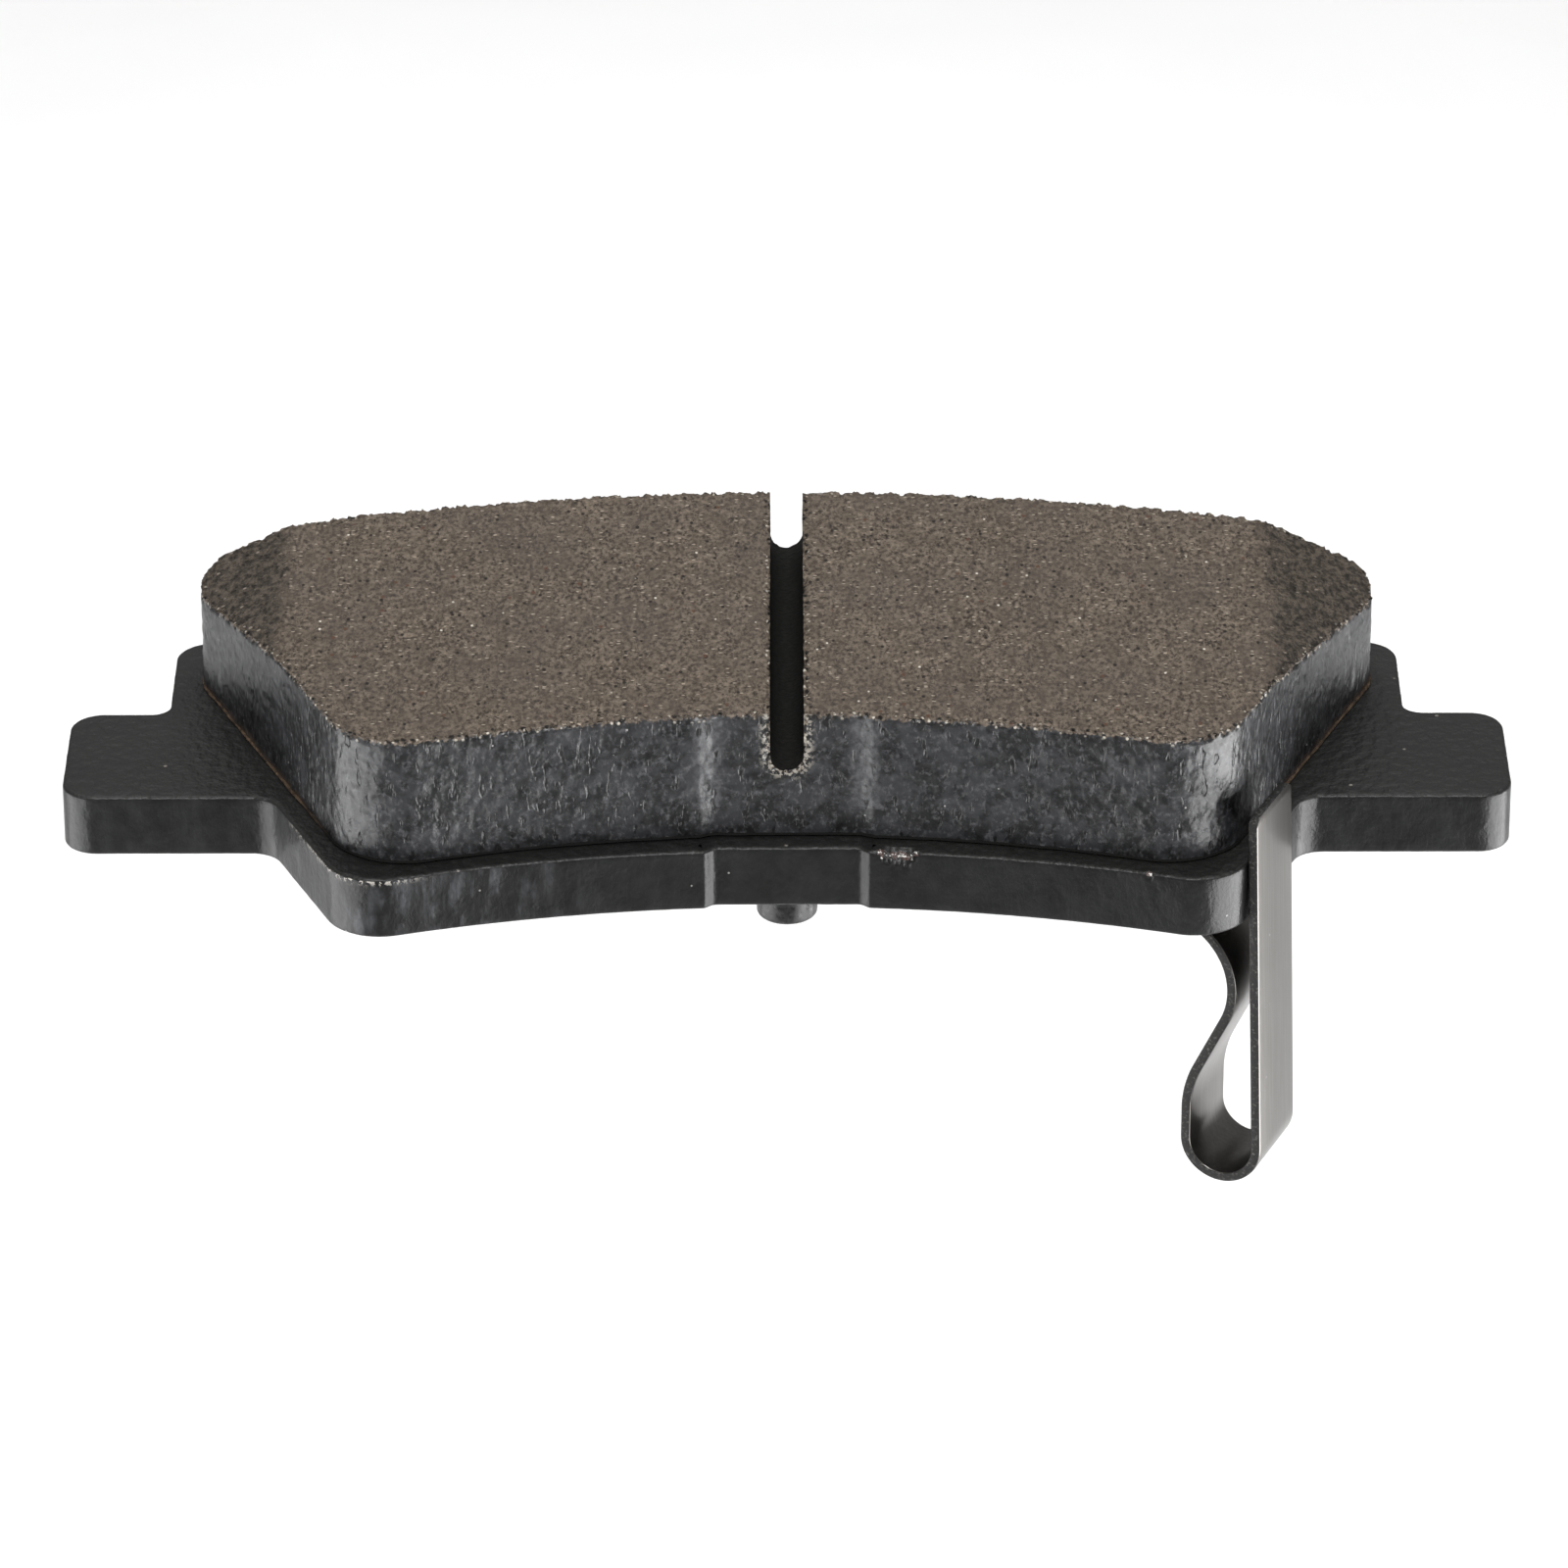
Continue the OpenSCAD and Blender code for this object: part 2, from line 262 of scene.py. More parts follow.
def mirrored(half):
    """The left half that carries on from the right one, back to the inner edge."""
    return (half * [-1, 1])[::-1]


def closed(half):
    """The whole loop from a right half that begins and ends on the centre line."""
    return np.concatenate([half[:-1], mirrored(half)[:-1]])


def outward(loop):
    """Unit normals of a closed loop that runs anticlockwise."""
    along = np.roll(loop, -1, axis=0) - np.roll(loop, 1, axis=0)
    normals = np.stack([along[:, 1], -along[:, 0]], axis=1)
    return normals / np.hypot(*normals.T)[:, None]


def circle(c, r, steps=64):
    """Points of a closed circle."""
    return [(c[0] + r * x, c[1] + r * y) for x, y in [at(360 * i / steps) for i in range(steps)]]


def level(loop, z):
    """A loop's points at one height."""
    return [(x, y, z) for x, y in loop]


def pushed(loop, normals, out, z):
    """A loop's points at one height, each moved out by its own distance."""
    return [(x + nx * d, y + ny * d, z) for (x, y), (nx, ny), d in zip(loop, normals, out)]


def within(loop, p):
    """Whether p is inside a closed loop, by the edges crossed on the way out along x."""
    crossed = 0
    for a, b in zip(loop, loop[1:] + loop[:1]):
        if (a[1] > p[1]) != (b[1] > p[1]):
            crossed += a[0] + (b[0] - a[0]) * (p[1] - a[1]) / (b[1] - a[1]) > p[0]
    return crossed % 2 == 1


# What delaunay_2d_cdt is asked for, faces inside the loops, and its smallest distance.
INSIDE = 2
SAME_POINT = 1e-6
# Decimals of a millimetre at which two points are the same.
DECIMALS = 4


class Shell:
    """Points and faces in millimetres; points that coincide are one vertex."""

    def __init__(self):
        self.points = []
        self.index = {}
        self.faces = []
        self.slots = []

    def add(self, p):
        """The number of the vertex at p."""
        key = tuple(round(float(v), DECIMALS) for v in p)
        if key not in self.index:
            self.index[key] = len(self.points)
            self.points.append(Vector([float(v) for v in p]))
        return self.index[key]

    def face(self, ids, slot):
        """One face, without corners that have come together."""
        corners = [v for i, v in enumerate(ids) if v != ids[i - 1]]
        if len(corners) > 2:
            self.faces.append(corners)
            self.slots.append(slot)

    def grid(self, rows, slot=0, loop=False):
        """Quads between rows of points; a loop joins each row's end to its start."""
        ids = [[self.add(p) for p in row] for row in rows]
        for a, b in zip(ids, ids[1:]):
            for i in range(0 if loop else 1, len(a)):
                self.face([a[i - 1], a[i], b[i], b[i - 1]], slot)

    def sheet(self, loops, height, slot=0, inner=(), down=False):
        """A face between an outer loop and the holes in it, at height(x, y)."""
        points = []
        edges = []
        for loop in loops:
            first = len(points)
            points += [Vector((p[0], p[1])) for p in loop]
            edges += [(first + i, first + (i + 1) % len(loop)) for i in range(len(loop))]
        points += [Vector(p) for p in inner]
        flat, _, faces, _, _, _ = delaunay_2d_cdt(points, edges, [], INSIDE, SAME_POINT)
        ids = [self.add((p.x, p.y, height(p.x, p.y))) for p in flat]
        for f in faces:
            middle = sum((flat[i] for i in f), Vector((0, 0))) / len(f)
            if not any(within(hole, middle) for hole in loops[1:]):
                corners = [ids[i] for i in f]
                self.face(corners[::-1] if down else corners, slot)

    def piece(self, name, materials, crease=35):
        """The mesh object, smooth except over edges sharper than crease degrees."""
        mesh = bpy.data.meshes.new(name)
        mesh.from_pydata([p * MM for p in self.points], [], self.faces)
        for material in materials:
            mesh.materials.append(material)
        mesh.polygons.foreach_set("material_index", self.slots)
        mesh.shade_smooth()
        mesh.set_sharp_from_angle(angle=math.radians(crease))
        mesh.validate()
        mesh.update()
        piece = bpy.data.objects.new(name, mesh)
        bpy.context.scene.collection.objects.link(piece)
        return piece


def mark(piece, name, values):
    """Stores one number for each vertex, for a material to read."""
    layer = piece.data.attributes.new(name, "FLOAT", "POINT")
    layer.data.foreach_set("value", values)


def rough(p, size, salt=0.0):
    """Smooth noise, about -1 to 1, whose bumps are size millimetres apart."""
    return noise.noise(Vector((p[0] / size + salt, p[1] / size - salt, p[2] / size + 2 * salt)))


# ---------------- materials

# Colours, as linear red, green and blue.
# The plate's coat, on its faces and on its sheared sides.
FACE_DARK = (0.0045, 0.0043, 0.004)
FACE_PALE = (0.009, 0.0086, 0.0078)
FACE_DUST = (0.2, 0.18, 0.16)
SHEAR_DARK = (0.004, 0.004, 0.004)
SHEAR_PALE = (0.01, 0.01, 0.0103)
SHEAR_SCUFF = (0.065, 0.068, 0.074)
SHEAR_DUST = (0.25, 0.24, 0.23)
WORN_STEEL = (0.5, 0.47, 0.43)
# Torn steel.
CHIP_DARK = (0.012, 0.01, 0.01)
CHIP_RUST = (0.05, 0.018, 0.012)
CHIP_STEEL = (0.8, 0.78, 0.74)
# The ground friction compound, its grains, its crumbling rims and its chamfers.
GROUND_DARK = (0.022, 0.0165, 0.0125)
GROUND_PALE = (0.235, 0.188, 0.144)
GROUND_BLOTCH = (0.085, 0.066, 0.049)
GROUND_PATCH = (0.09, 0.074, 0.062)
GRAIN_DARK = (0.018, 0.014, 0.011)
GRAIN_RUST = (0.1, 0.052, 0.034)
GRAIN_PALE = (0.4, 0.34, 0.27)
GRAIN_BRIGHT = (0.7, 0.65, 0.56)
# Painted shade in the hollows of crumbled rims, then their bright flecks.
CRUMB_PIT_SHADE = (0.006, 0.005, 0.004)
CRUMB_FLECK = (0.5, 0.46, 0.39)
# Painted shade in the chamfers' hollows, then their pale tone and flecks.
CHAMFER_HOLLOW_SHADE = (0.003, 0.0024, 0.0018)
CHAMFER_PALE = (0.125, 0.102, 0.08)
CHAMFER_FLECK = (0.35, 0.3, 0.24)
# The slate paint on the lining's sides.
PAINT_DARK = (0.0035, 0.0037, 0.0042)
PAINT_PALE = (0.024, 0.0247, 0.027)
PAINT_CLOUD = (0.03, 0.031, 0.033)
# Painted highlight on the raised fine grain.
PAINT_RAISED_HIGHLIGHT = (0.095, 0.096, 0.101)
# Painted highlight on the corners of the shallow recess.
PAINT_RECESS_HIGHLIGHT = (0.08, 0.081, 0.085)
PAINT_DUST = (0.35, 0.34, 0.33)
# Painted shade in the low spots of the paint's relief.
PAINT_VOID_SHADE = (0.003, 0.003, 0.0035)
PAINT_STAIN = (0.06, 0.04, 0.028)
MOUTH_CHIP = (0.3, 0.28, 0.245)
# Painted shade in the hollows round the slot's mouths.
MOUTH_PIT_SHADE = (0.006, 0.006, 0.006)
# Painted shade inside the slot, near black.
SLOT_SHADE_DARK = (0.0035, 0.0035, 0.003)
SLOT_SHADE_PALE = (0.01, 0.0095, 0.008)
# The underlayer's plugs, and the adhesive.
PLUG_DULL = (0.03, 0.028, 0.027)
RESIN_DARK = (0.035, 0.024, 0.016)
RESIN_PALE = (0.13, 0.088, 0.058)
RESIN_BLACK = (0.004, 0.0038, 0.0035)
# The wear indicator, the pin and the rivet.
STRIP_DARK = (0.15, 0.1435, 0.136)
STRIP_PALE = (0.18, 0.173, 0.165)
STRIP_SPECK = (0.3, 0.29, 0.28)
EDGE_DARK = (0.01, 0.0095, 0.009)
EDGE_PALE = (0.1, 0.097, 0.092)
PIN_DARK = (0.015, 0.015, 0.0155)
PIN_PALE = (0.04, 0.04, 0.041)
RIVET_DARK = (0.16, 0.155, 0.15)
RIVET_PALE = (0.3, 0.29, 0.28)
# The floor.
FLOOR_DARK = (0.89, 0.89, 0.89)
FLOOR_PALE = (0.91, 0.91, 0.91)


class Finish:
    """A material's nodes. Sizes are in millimetres and are measured on the object itself."""

    def __init__(self, name, color, roughness, specular=0.5, metallic=0.0):
        self.material = bpy.data.materials.new(name)
        self.material.use_nodes = True
        self.tree = self.material.node_tree
        self.shader = self.tree.nodes["Principled BSDF"]
        self.shader.inputs["Base Color"].default_value = (*color, 1)
        self.shader.inputs["Roughness"].default_value = roughness
        self.shader.inputs["Specular IOR Level"].default_value = specular
        self.shader.inputs["Metallic"].default_value = metallic
        self.place = self.node("ShaderNodeTexCoord").outputs["Object"]

    def node(self, kind, **values):
        """A new node, with its inputs of the given names filled."""
        made = self.tree.nodes.new(kind)
        for key, value in values.items():
            self.put(made.inputs[key.replace("_", " ")], value)
        return made

    def put(self, socket, value):
        """Links a socket to another one, or sets it to a colour or a number."""
        if isinstance(value, bpy.types.NodeSocket):
            self.tree.links.new(value, socket)
        elif isinstance(value, tuple) and len(value) == 3 and socket.type == "RGBA":
            socket.default_value = (*value, 1)
        else:
            socket.default_value = value

    def stretched(self, sizes):
        """Object coordinates counted in cells of the given sizes."""
        scale = tuple(1 / (size * MM) for size in sizes)
        return self.node("ShaderNodeMapping", Vector=self.place, Scale=scale).outputs["Vector"]

    def noise(self, sizes, detail=2.0, roughness=0.5):
        """Noise from 0 to 1, mostly near 0.5, whose largest bumps have the given sizes."""
        made = self.node("ShaderNodeTexNoise", Vector=self.stretched(sizes), Scale=1.0,
                         Detail=detail, Roughness=roughness)
        return made.outputs["Fac"]

    def cells(self, sizes):
        """Scattered cells: the distance from each one's middle, and a number for each one."""
        made = self.node("ShaderNodeTexVoronoi", Vector=self.stretched(sizes), Scale=1.0)
        split = self.node("ShaderNodeSeparateColor", Color=made.outputs["Color"])
        return made.outputs["Distance"], split.outputs["Red"]

    def between(self, value, low, high, top=1.0):
        """0 where value is at low, top where it is at high, and held outside them."""
        made = self.node("ShaderNodeMapRange", Value=value)
        for key, number in (("From Min", low), ("From Max", high), ("To Max", top)):
            made.inputs[key].default_value = number
        return made.outputs["Result"]

    def math(self, operation, a, b):
        """Two sockets or numbers, combined."""
        made = self.tree.nodes.new("ShaderNodeMath")
        made.operation = operation
        self.put(made.inputs[0], a)
        self.put(made.inputs[1], b)
        return made.outputs[0]

    def specks(self, size, share, radius, long=1.0):
        """A mask of small grains, long times as long as wide: share of the cells hold one."""
        distance, number = self.cells((size, size * long, size))
        chosen = self.between(number, 1 - share, 1 - share + 0.01)
        grain = self.between(distance, radius, radius * 0.6)
        return self.math("MULTIPLY", chosen, grain)

    def mix(self, mask, a, b):
        """Colour a where the mask is 0, and b where it is 1."""
        made = self.tree.nodes.new("ShaderNodeMix")
        made.data_type = "RGBA"
        self.put(made.inputs[0], mask)
        self.put(made.inputs[6], a)
        self.put(made.inputs[7], b)
        return made.outputs[2]

    def attribute(self, name):
        """What mark() stored in the mesh."""
        made = self.tree.nodes.new("ShaderNodeAttribute")
        made.attribute_name = name
        return made.outputs["Fac"]

    def color(self, socket):
        self.put(self.shader.inputs["Base Color"], socket)

    def roughness(self, socket):
        self.put(self.shader.inputs["Roughness"], socket)

    def bump(self, height, depth):
        """Turns a height from 0 to 1 into relief that is depth millimetres deep."""
        made = self.node("ShaderNodeBump", Height=height, Strength=1.0, Distance=depth * MM)
        self.put(self.shader.inputs["Normal"], made.outputs["Normal"])


def plate_face_finish():
    """Black powder coat on the plate's faces, with its orange peel."""
    f = Finish("plate_face_coat", (0.012, 0.0115, 0.011), 0.5, 0.5)
    cloud = f.between(f.noise((9, 9, 9), 3), 0.35, 0.7)
    body = f.mix(cloud, FACE_DARK, FACE_PALE)
    dust = f.specks(1.3, 0.14, 0.12)
    f.color(f.mix(dust, body, FACE_DUST))
    f.bump(f.noise((0.75, 0.9, 0.75), 2, 0.5), 0.2)
    return f.material


def plate_side_finish():
    """The same coat over the plate's sheared sides, with scuffs where the scuff mark is."""
    f = Finish("plate_side_coat", (0.012, 0.012, 0.0125), 0.34, 0.36)
    streak = f.noise((0.9, 0.9, 5), 3, 0.6)
    patch = f.noise((2.2, 2.2, 3.2), 4, 0.6)
    scuff = f.attribute("scuff")
    mask = f.math("MULTIPLY", f.between(streak, 0.42, 0.66), f.between(patch, 0.42, 0.6))
    body = f.mix(f.between(patch, 0.35, 0.65), SHEAR_DARK, SHEAR_PALE)
    body = f.mix(f.math("MULTIPLY", mask, scuff), body, SHEAR_SCUFF)
    fleck = f.noise((0.3, 0.3, 0.3), 3, 0.7)
    edge = f.math("MULTIPLY", f.attribute("edge_wear"), f.between(fleck, 0.5, 0.56))
    body = f.mix(edge, body, WORN_STEEL)
    f.color(f.mix(f.specks(1.3, 0.08, 0.07), body, SHEAR_DUST))
    relief = f.math("ADD", f.math("MULTIPLY", streak, 0.2), patch)
    f.bump(f.math("ADD", relief, f.math("MULTIPLY", fleck, 0.12)), 0.16)
    return f.material


def chip_finish():
    """Bare, torn steel where the coat has been knocked off."""
    f = Finish("chipped_steel", (0.5, 0.48, 0.45), 0.36, 0.8)
    grain = f.noise((0.35, 0.35, 0.25), 3, 0.7)
    rust = f.noise((0.6, 0.6, 0.6), 2)
    dark = f.mix(f.between(rust, 0.48, 0.56), CHIP_DARK, CHIP_RUST)
    f.color(f.mix(f.between(grain, 0.53, 0.6), dark, CHIP_STEEL))
    f.bump(grain, 0.25)
    return f.material


def ground_colors(f):
    """Colour of the ground friction compound: brown matrix with dark, pale and rusty grains."""
    fine = f.noise((0.3, 0.5, 0.3), 4, 0.8)
    coarse = f.noise((0.9, 1.5, 0.9), 3, 0.6)
    patch = f.noise((5, 7, 5), 3)
    body = f.mix(f.between(fine, 0.39, 0.61), GROUND_DARK, GROUND_PALE)
    body = f.mix(f.between(coarse, 0.42, 0.62, 0.55), body, GROUND_BLOTCH)
    body = f.mix(f.between(patch, 0.4, 0.65, 0.35), body, GROUND_PATCH)
    body = f.mix(f.specks(0.55, 0.2, 0.3, 1.6), body, GRAIN_DARK)
    body = f.mix(f.specks(0.8, 0.08, 0.24, 1.4), body, GRAIN_RUST)
    body = f.mix(f.specks(0.5, 0.14, 0.34, 0.5), body, GRAIN_PALE)
    body = f.mix(f.specks(0.7, 0.06, 0.16, 1.5), body, GRAIN_BRIGHT)
    return body, f.math("ADD", fine, f.math("MULTIPLY", coarse, 0.8))


def crumbs(f, body):
    """The same colour with dark specks of painted shade in the hollows, and bright flecks, where the
    rim has crumbled.
    """
    broken = f.between(f.attribute("rim_mm"), 0.55, 0.3)
    # Painted shade: near-black specks in the hollows of the crumbled rims.
    pit_shade = f.math("MULTIPLY", broken, f.specks(0.5, 0.6, 0.45))
    flecks = f.math("MULTIPLY", broken, f.specks(0.42, 0.4, 0.33))
    body = f.mix(pit_shade, body, CRUMB_PIT_SHADE)
    return f.mix(flecks, body, CRUMB_FLECK)


def ground_finish():
    """The friction face, with its rougher and darker chamfers, whose hollows hold painted shade."""
    f = Finish("ground_friction_face", (0.15, 0.125, 0.1), 0.75, 0.3)
    body, relief = ground_colors(f)
    rough_noise = f.noise((0.45, 0.7, 0.45), 4, 0.75)
    # Painted shade: the chamfers go near black where their bump is low.
    shade = f.mix(f.between(rough_noise, 0.42, 0.6), CHAMFER_HOLLOW_SHADE, CHAMFER_PALE)
    shade = f.mix(f.specks(0.7, 0.15, 0.25), shade, CHAMFER_FLECK)
    mask = f.math("MULTIPLY", f.attribute("chamfer"), 0.8)
    f.color(crumbs(f, f.mix(mask, body, shade)))
    coarse = f.math("MULTIPLY", f.math("MULTIPLY", f.attribute("chamfer"), rough_noise), 3)
    f.bump(f.math("ADD", relief, coarse), 0.14)
    return f.material


def lining_side_finish():
    """Dark slate paint over the moulded sides, chipped back to the compound along the rims."""
    f = Finish("lining_side_paint", (0.04, 0.041, 0.044), 0.37, 0.5)
    blotch = f.noise((2.3, 2.3, 2.3), 6, 0.72)
    dimple = f.noise((0.95, 0.95, 1.1), 1.5, 0.5)
    cloud = f.noise((7, 7, 6), 3)
    fine = f.noise((0.38, 0.38, 0.45), 4, 0.7)
    voids = f.noise((0.6, 0.6, 1.5), 2, 0.5)
    body = f.mix(f.between(blotch, 0.45, 0.55), PAINT_DARK, PAINT_PALE)
    body = f.mix(f.between(cloud, 0.45, 0.65, 0.35), body, PAINT_CLOUD)
    # Painted highlight: paler paint where the fine grain stands up in the bump.
    body = f.mix(f.between(fine, 0.52, 0.68, 0.7), body, PAINT_RAISED_HIGHLIGHT)
    # Painted highlight: paler paint on the two corners of the shallow recess.
    body = f.mix(f.math("MULTIPLY", f.attribute("recess_highlight"), f.between(fine, 0.3, 0.6)), body,
                 PAINT_RECESS_HIGHLIGHT)
    body = f.mix(f.specks(0.9, 0.1, 0.1), body, PAINT_DUST)
    # Painted shade: near black in the low spots of the bump.
    body = f.mix(f.between(voids, 0.64, 0.7), body, PAINT_VOID_SHADE)
    ground, _ = ground_colors(f)
    ragged = f.math("MULTIPLY", f.noise((0.4, 0.4, 0.4), 3, 0.6), 1.1)
    bare = f.between(f.math("SUBTRACT", f.attribute("rim_mm"), ragged), -0.26, -0.34)
    body = f.mix(f.attribute("stain"), body, PAINT_STAIN)
    body = crumbs(f, f.mix(bare, body, ground))
    mouth = f.between(f.attribute("mouth_mm"), 0.85, 0.3)
    chips = f.noise((0.26, 0.26, 0.26), 2, 0.6)
    body = f.mix(f.math("MULTIPLY", mouth, f.between(chips, 0.5, 0.55)), body, MOUTH_CHIP)
    # Painted shade: near black in the hollows round the slot's mouths.
    body = f.mix(f.math("MULTIPLY", mouth, f.between(chips, 0.46, 0.42)), body, MOUTH_PIT_SHADE)
    f.color(body)
    dents = f.between(voids, 0.7, 0.6)
    relief = f.math("ADD", dimple, f.math("MULTIPLY", fine, 0.12))
    f.bump(f.math("ADD", relief, f.math("MULTIPLY", dents, 0.3)), 0.19)
    return f.material


def slot_shade_finish():
    """Painted shade: matt black inside the slot."""
    f = Finish("slot_painted_shade", (0.006, 0.006, 0.0055), 0.8, 0.2)
    grain = f.noise((0.3, 0.3, 0.3), 3)
    # Near-black painted shade over the slot's inside.
    f.color(f.mix(f.between(grain, 0.4, 0.75), SLOT_SHADE_DARK, SLOT_SHADE_PALE))
    f.bump(grain, 0.08)
    return f.material


def plug_finish():
    """Underlayer compound where it fills the plate's holes."""
    f = Finish("underlayer_compound", (0.06, 0.05, 0.045), 0.8, 0.3)
    body, relief = ground_colors(f)
    f.color(f.mix(0.6, body, PLUG_DULL))
    f.bump(relief, 0.08)
    return f.material


def bond_finish():
    """Cured adhesive: dark, and rusty brown along the slanted sides."""
    f = Finish("bond_resin", (0.05, 0.035, 0.025), 0.8, 0.15)
    grain = f.noise((0.5, 0.5, 0.5), 3)
    brown = f.mix(f.between(grain, 0.35, 0.65), RESIN_DARK, RESIN_PALE)
    f.color(f.mix(f.attribute("stain"), RESIN_BLACK, brown))
    f.bump(grain, 0.06)
    return f.material


def strip_finish():
    """Tempered spring strip: dark, satin, with faint rolling marks along it."""
    f = Finish("spring_steel", (0.165, 0.157, 0.149), 0.3, 0.5, 1.0)
    marks = f.noise((0.25, 0.25, 12), 3)
    body = f.mix(f.between(marks, 0.4, 0.7), STRIP_DARK, STRIP_PALE)
    f.color(f.mix(f.specks(1.1, 0.06, 0.1), body, STRIP_SPECK))
    f.bump(marks, 0.004)
    return f.material


def strip_edge_finish():
    """The strip's sheared edges: dark and dull."""
    f = Finish("spring_steel_edge", (0.012, 0.0115, 0.011), 0.6, 0.4)
    grain = f.noise((0.2, 0.2, 0.2), 3)
    f.color(f.mix(f.between(grain, 0.55, 0.75), EDGE_DARK, EDGE_PALE))
    f.bump(grain, 0.05)
    return f.material


def steel_finish(name, color, pale):
    """Dark plated steel for the pin and the rivet."""
    f = Finish(name, color, 0.4, 0.5, 0.3)
    grain = f.noise((0.35, 0.35, 0.35), 3)
    f.color(f.mix(f.between(grain, 0.4, 0.7), color, pale))
    f.roughness(f.between(grain, 0.0, 1.0, 0.7))
    f.bump(grain, 0.02)
    return f.material


# ---------------- pieces

# A distance from the rims that is past all their wear.
FAR_MM = 9.0


def plate_chip(x):
    """How far down the chips in the inner edge's upper rim reach at x."""
    return sum(depth * smooth((x - start) / run_in) * smooth((end - x) / run_out)
               for start, end, run_in, run_out, depth in CHIPS)


def plate_step(x, y):
    """Spacing of the plate's outline, finer where it is chipped."""
    return CHIP_STEP if y < 0 and any(low < x < high for low, high in CHIPPED_X) else PLATE_STEP


def plate_wall(loop, normals, inset, z):
    """One ring of the plate's edge, with its faint shear waves, witness lines and chips."""
    wave_high = 0.02
    line_x, line_w, line_high = 43.7, 0.09, 0.05
    points = []
    for (x, y), (nx, ny) in zip(loop, normals):
        wave = wave_high * rough((x, y, 0.3 * z), 1.1)
        on_ear = y < EAR_LOW_Y + 0.1
        line = line_high * math.exp(-((abs(x - line_x) / line_w) ** 2)) if on_ear else 0
        deep, low = inset + wave_high - wave - line, z
        drop = plate_chip(x) if y < 0 else 0
        if drop > 0:
            torn = 0.5 * rough((x, y, z), 0.5, 3.1) + 0.3 * rough((x, y, z), 0.22, 1.7)
            below_top = (z - (PLATE_TOP - drop * (1 + torn))) * CHIP_DOWN
            over = max(0, below_top + (CHIP_REACH * drop - inset) * CHIP_IN)
            deep += over * CHIP_IN
            low -= over * CHIP_DOWN
        points.append((x - nx * deep, y - ny * deep, low))
    return points


def plate_profile():
    """(inset, height) of the rings up the plate's edge, and which bands between them are sheared."""
    low_r, roll_in, roll_down = 0.22, 0.3, 0.22
    turns = range(0, 91, 15)
    low = [(0.8, 0.0)] + [(low_r * (1 - at(a)[1]), low_r * (1 - at(a)[0])) for a in turns]
    wall = [(0, z) for z in (0.7, 1.2, 1.7, 2.2, 2.7, 3.1, 3.35, 3.55, 3.75, 3.95)]
    high = [(roll_in * (1 - at(a)[0]), PLATE_TOP - roll_down * (1 - at(a)[1])) for a in turns]
    sheared = range(len(low) - 2, len(low) + len(wall) + 1)
    return low + wall + high + [(0.75, PLATE_TOP), (1.0, PLATE_TOP)], sheared


def is_chipped(c):
    """Whether a face with its middle at c is on the floor of a chip."""
    drop = plate_chip(c.x) if c.y < 0 else 0
    on_rim = PLATE_TOP - drop - 0.05 < c.z < PLATE_TOP - 0.03
    return drop > 0.25 and on_rim and c.y < PLATE.near(c.x) + 0.3 + CHIP_REACH * drop


def make_plate(face, side, chip):
    """The stamped plate: faces with rolled rims (slot 0), sheared walls (1) and chips (2)."""
    loop = closed(resample(PLATE.half(ear_shoulder(), 0), plate_step))
    normals = outward(loop)
    profile, sheared = plate_profile()
    shell = Shell()
    rings = [plate_wall(loop, normals, inset, z) for inset, z in profile]
    shell.grid(rings, loop=True)
    shell.slots = [int(i // len(loop) in sheared) for i in range(len(shell.faces))]
    holes = [circle(c, PLUG_R) for c in PLUG_AT]
    shell.sheet([rings[-1]] + holes, lambda x, y: PLATE_TOP)
    shell.sheet([rings[0]] + holes, lambda x, y: 0, down=True)
    for hole in holes:
        shell.grid([level(hole, PLATE_TOP), level(hole, 0)], loop=True)
    for i, corners in enumerate(shell.faces):
        if is_chipped(sum((shell.points[v] for v in corners), Vector()) / len(corners)):
            shell.slots[i] = 2
    piece = shell.piece("backing_plate_steel", [face, side, chip])
    mark(piece, "scuff", [scuff(p) for p in shell.points])
    mark(piece, "edge_wear", [edge_wear(p) for p in shell.points])
    return piece


def scuff(p):
    """How scuffed the sheared wall is at a point: mostly left of the recess."""
    return smooth(1.4 - abs(p.x + 24) / 9) if p.y < 0 else 0.12


def edge_wear(p):
    """How worn the upper rim's coat is at a point: only over the left corner."""
    if p.y >= 0:
        return 0.0
    return smooth(1.5 - abs(p.x + 29.5) / 4) * smooth((p.z - PLATE_TOP + 0.6) / 0.3)


def lining_halves(line, proud=0):
    """The lining's right and left walls, from one of the slot's edges round to the other."""
    right = resample(line.half(knee_shoulder(line, proud), SLOT_R), lambda x, y: LINING_STEP)
    return right, mirrored(right)


def bridge_xs(spans=14):
    """X of the points across the slot, closer where its round bottom turns up."""
    return [-SLOT_R * at(180 * i / spans)[0] for i in range(spans + 1)]


def lining_loop(line, proud=0):
    """The lining's whole outline, with the points that the block's walls use."""
    right, left = lining_halves(line, proud)
    near = [(x, line.near(x)) for x in bridge_xs()]
    far = [(-x, line.far(x)) for x in bridge_xs()]
    return np.concatenate([near[:-1], right[:-1], far[:-1], left[:-1]])


def side_relief(x, y, z):
    """How far the moulded side stands out at a point."""
    return 0.05 * rough((x, y, z), 1.6) + 0.035 * rough((x, y, z), 0.55, 5.0) - 0.04


def stain(p):
    """How brown the base is at a point: only along the slanted sides and the ends."""
    return smooth((abs(p[0]) - 31) / 3) * (0.75 + 0.25 * rough(p, 1.5))


